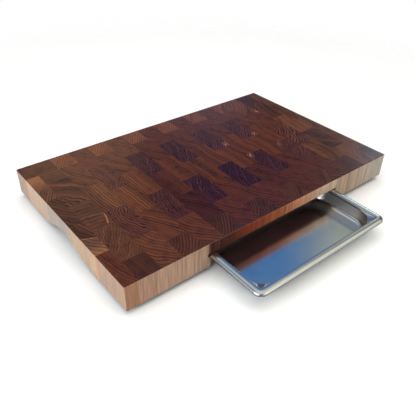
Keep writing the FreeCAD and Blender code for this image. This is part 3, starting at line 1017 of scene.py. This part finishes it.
class StageTints(bpy.types.PropertyGroup):
    """Colour of the table that the board stands on"""

    table: colour("Table", "Colour of the table", (248, 248, 248))


class BOARD_OT_walnut(bpy.types.Operator):
    """Give every slice of the board its oiled end-grain walnut"""

    bl_idname = "board.walnut"
    bl_label = "Walnut Slices"

    def execute(self, context):
        tints = context.scene.board_walnut
        for index, name in enumerate(SLICES):
            low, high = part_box(name)
            dress(name, Walnut(tints, index, mm(low[0]), mm(high[0])).wood())
        return {"FINISHED"}


class BOARD_OT_pan(bpy.types.Operator):
    """Give the drawer pan its satin stainless finish"""

    bl_idname = "board.pan"
    bl_label = "Steel Pan"

    def execute(self, context):
        sizes = context.scene.board_pan
        half_x = (PAN_HIGH[0] - PAN_LOW[0]) / 2
        half_y = (PAN_HIGH[1] - PAN_LOW[1]) / 2
        reach = sizes.pan_flange + sizes.well_corner
        middle = (PAN_LOW + PAN_HIGH) / 2
        profile = [tuple(part * MM for part in station) for station in pan_profile(sizes)]
        values = {
            "Centre Along": half_x - reach,
            "Centre Deep": half_y - reach,
            "Reach": reach,
            "Corner Steps": sizes.corner_steps,
            "Place": (middle[0], middle[1], 0.0),
            "Material": satin_steel(sizes.steel, sizes.hem_shade),
        }
        pan = pressed_pan().run("pan", polyline("pan_section", profile), values)
        sheet = bmesh.new()
        sheet.from_mesh(pan.data)
        bmesh.ops.remove_doubles(sheet, verts=sheet.verts, dist=WELD)
        bmesh.ops.dissolve_degenerate(sheet, edges=sheet.edges, dist=WELD)
        bmesh.ops.recalc_face_normals(sheet, faces=sheet.faces)
        floor = max(sheet.faces, key=lambda face: face.calc_area())
        if floor.normal.z < 0:
            bmesh.ops.reverse_faces(sheet, faces=sheet.faces)
        sheet.to_mesh(pan.data)
        sheet.free()
        wall = pan.modifiers.new("sheet", "SOLIDIFY")
        wall.thickness = sizes.sheet
        wall.offset = -1.0
        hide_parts("steel_pan")
        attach(pan, "pan")
        return {"FINISHED"}


class BOARD_OT_feet(bpy.types.Operator):
    """Set four moulded rubber feet under the board"""

    bl_idname = "board.feet"
    bl_label = "Rubber Feet"

    def execute(self, context):
        sizes = context.scene.board_feet
        top, low = mm(FEET_HIGH[2]), mm(FEET_LOW[2])
        wide, tip = mm(sizes.foot_radius), mm(sizes.foot_tip)
        well, bore = mm(sizes.foot_well), mm(sizes.foot_bore)
        taper = (wide - tip) / (top - low)

        def side(rise, cut):
            """A point on the tapered side, cut in by so much."""
            return (wide - (top - rise) * taper - cut, rise)

        outline = [(bore, top), (wide - 0.5, top), (wide - 0.1, top - 0.3)]
        for below in GROOVES:
            outline += [side(top - below + step, cut) for step, cut in GROOVE]
        outline += arc((tip - FOOT_EDGE, low + FOOT_EDGE), (FOOT_EDGE, FOOT_EDGE), 0, -90, 4)
        for inward in RINGS:
            outline += [(tip - inward + step, low + cut) for step, cut in RING]
        outline += [(well + WELL_EDGE, low), (well, low + WELL_EDGE)]
        outline += [(well, top - SEAT), (bore, top - SEAT)]
        foot = turned("foot", outline, FOOT_STEPS)
        radius = wide * MM
        values = {
            "Spacing Along": FEET_HIGH[0] - FEET_LOW[0] - 2 * radius,
            "Spacing Deep": FEET_HIGH[1] - FEET_LOW[1] - 2 * radius,
            "Place": ((FEET_LOW[0] + FEET_HIGH[0]) / 2, (FEET_LOW[1] + FEET_HIGH[1]) / 2, 0.0),
            "Material": moulded_rubber(sizes.rubber),
        }
        feet = foot_grid().run("rubber_feet", foot, values)
        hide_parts(*FEET)
        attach(feet, "board")
        return {"FINISHED"}


class BOARD_OT_fixings(bpy.types.Operator):
    """Give the screws and washers in the feet their zinc plating"""

    bl_idname = "board.fixings"
    bl_label = "Screws and Washers"

    def execute(self, context):
        zinc = zinc_plate(context.scene.board_feet.zinc)
        for name in FIXINGS:
            dress(name, zinc)
        return {"FINISHED"}


def around(bearing, rise, away):
    """A point seen from the middle of the board at a bearing and a rise in degrees."""
    level = away * math.cos(math.radians(rise))
    return (
        level * math.cos(math.radians(bearing)),
        level * math.sin(math.radians(bearing)),
        away * math.sin(math.radians(rise)),
    )


# What the steel and the oiled wood mirror: grey surroundings by height, and soft
# patches over them, each with its bearing, rise, inner and outer angle and colour.
SURROUNDINGS = (
    (0.00, (0.26, 0.26, 0.26)),
    (0.35, (0.06, 0.06, 0.07)),
    (0.62, (0.06, 0.06, 0.07)),
    (0.72, (0.28, 0.30, 0.33)),
    (0.90, (0.86, 0.85, 0.80)),
)
GLOWS = (
    (320, 38, 12, 32, (1.08, 1.04, 0.86)),
    (298, 12, 10, 24, (0.95, 0.92, 0.74)),
    (130, 38, 10, 30, (0.12, 0.22, 0.40)),
    (58, 14, 4, 12, (1.2, 1.1, 1.15)),
    (34, 17, 2, 7, (1.2, 1.2, 1.3)),
    (69, 31, 3, 10, (0.8, 0.7, 0.52)),
    (51, 21, 2, 8, (0.42, 0.52, 0.80)),
    (155, 22, 6, 22, (0.38, 0.39, 0.36)),
    (136, 20, 9, 18, (1.15, 1.10, 0.90)),
    (105, 48, 7, 16, (0.36, 0.56, 0.82)),
    (40, 42, 4, 10, (0.035, 0.22, 0.60)),
    (26, 38, 4, 9, (0.50, 0.54, 0.45)),
    (25, 24, 3, 6, (3.4, 4.7, 6.0)),
)
WHITE = (1.0, 1.0, 1.0, 1.0)

# Name, place, width and depth, watts, colour, and whether it shows in reflections.
LAMPS = (
    ("overhead", around(0, 90, 2.2), (3.6, 3.2), 46.0, (1.0, 0.97, 0.92), False),
    ("left_fill", around(192, 24, 2.2), (1.6, 1.2), 23.9, (0.93, 1.0, 1.05), True),
    ("front_fill", around(280, 24, 2.4), (1.4, 1.0), 4.0, (1.0, 1.0, 1.0), True),
)

# Half the table's width, the lens in millimetres, and the camera's directions and place.
TABLE_HALF = 6
LENS = 41.986
SENSOR = 36.0
EYE_RIGHT = (0.77735708, -0.62870358, 0.02116074)
EYE_UP = (0.35864436, 0.47057813, 0.80618264)
EYE_AHEAD = (0.51680769, 0.61910261, -0.59128823)
EYE_PLACE = (-0.554118, -0.668330, 0.569323)


def pale_table(tint):
    """A plain table under the feet that fades out far from the board."""
    level = min(BOARD_LOW[2], FEET_LOW[2])
    mesh = bpy.data.meshes.new("table")
    signs = ((-1, -1), (1, -1), (1, 1), (-1, 1))
    corners = [(TABLE_HALF * x, TABLE_HALF * y, level) for x, y in signs]
    mesh.from_pydata(corners, [], [(0, 1, 2, 3)])
    table = placed("table", mesh)
    finish = Finish("pale_table")
    place = finish.place()
    cloud = finish.noise(finish.scaled(place, 3.0), 2.0)
    x, y, _ = finish.split(place)
    fade = 1.0 - ((x * x + y * y) ** 0.5).eased(0.75, 1.4)
    tone = mottled(finish, cloud, tint, 0.01)
    mesh.materials.append(finish.surface(Base_Color=tone, Roughness=0.9, Alpha=fade))


def mirrored_room():
    """A world, white to the camera and a dim room with soft glows to reflections."""
    world = bpy.data.worlds.new("studio")
    sky = Finish("studio", world)
    direction = sky.add("ShaderNodeTexCoord", out="Generated")
    tone = sky.ramp(sky.split(direction)[2], SURROUNDINGS)
    for bearing, lift, inner, outer, shade in GLOWS:
        sockets = {0: direction, 1: around(bearing, lift, 1.0)}
        toward = sky.add("ShaderNodeVectorMath", {"operation": "DOT_PRODUCT"}, sockets, out=1)
        near = toward.eased(math.cos(math.radians(outer)), math.cos(math.radians(inner)))
        tone = sky.blend(near, tone, (*shade, 1.0))
    seen = sky.add("ShaderNodeLightPath", out="Is Camera Ray")
    tone = sky.blend(seen, tone, WHITE)
    glow = sky.add("ShaderNodeBackground", None, {"Color": tone, "Strength": 1.0})
    sky.add("ShaderNodeOutputWorld", None, {"Surface": glow})
    return world


def soft_lamp(name, place, size, power, shade, mirrored):
    """A broad lamp that looks at the middle of the board."""
    light = bpy.data.lights.new(name, "AREA")
    light.shape = "RECTANGLE"
    light.size, light.size_y = size
    light.energy = power
    light.color = shade
    lamp = placed(name, light)
    lamp.location = place
    lamp.visible_glossy = mirrored
    lamp.rotation_euler = (-Vector(place)).to_track_quat("-Z", "Y").to_euler()


def set_camera(scene):
    """The camera, from the left, the front and above."""
    camera = bpy.data.cameras.new("camera")
    camera.sensor_width = SENSOR
    camera.lens = LENS
    camera.clip_start = 0.01
    eye = placed("camera", camera)
    rows = [(EYE_RIGHT[a], EYE_UP[a], -EYE_AHEAD[a], EYE_PLACE[a]) for a in range(3)]
    eye.matrix_world = Matrix([*rows, (0, 0, 0, 1)])
    scene.camera = eye


class BOARD_OT_stage(bpy.types.Operator):
    """Set the table, the soft lamps, the backdrop and the camera"""

    bl_idname = "board.stage"
    bl_label = "Stage"

    def execute(self, context):
        scene = context.scene
        scene.view_settings.view_transform = "Standard"
        pale_table(scene.board_stage.table)
        scene.world = mirrored_room()
        for lamp in LAMPS:
            soft_lamp(*lamp)
        set_camera(scene)
        return {"FINISHED"}


class BOARD_PT_panel(bpy.types.Panel):
    """Lists the sizes, the colours and the steps that dress the board"""

    bl_idname = "BOARD_PT_panel"
    bl_label = "Cutting Board"
    bl_space_type = "VIEW_3D"
    bl_region_type = "UI"
    bl_category = "Board"

    def draw(self, context):
        for name, group in GROUPS.items():
            box = self.layout.box()
            for item in group.__annotations__:
                box.prop(getattr(context.scene, name), item)
        for step in STEPS:
            self.layout.operator(step.bl_idname)


STEPS = (BOARD_OT_walnut, BOARD_OT_pan, BOARD_OT_feet, BOARD_OT_fixings, BOARD_OT_stage)
GROUPS = {
    "board_walnut": WalnutTints,
    "board_pan": PanSizes,
    "board_feet": FootSizes,
    "board_stage": StageTints,
}
CLASSES = (*GROUPS.values(), *STEPS, BOARD_PT_panel)


def register():
    for item in CLASSES:
        bpy.utils.register_class(item)
    for name, group in GROUPS.items():
        setattr(bpy.types.Scene, name, PointerProperty(type=group))


def unregister():
    for name in GROUPS:
        delattr(bpy.types.Scene, name)
    for item in reversed(CLASSES):
        bpy.utils.unregister_class(item)


def main():
    register()
    bpy.ops.board.walnut()
    bpy.ops.board.pan()
    bpy.ops.board.feet()
    bpy.ops.board.fixings()
    bpy.ops.board.stage()


if __name__ == "__main__":
    main()
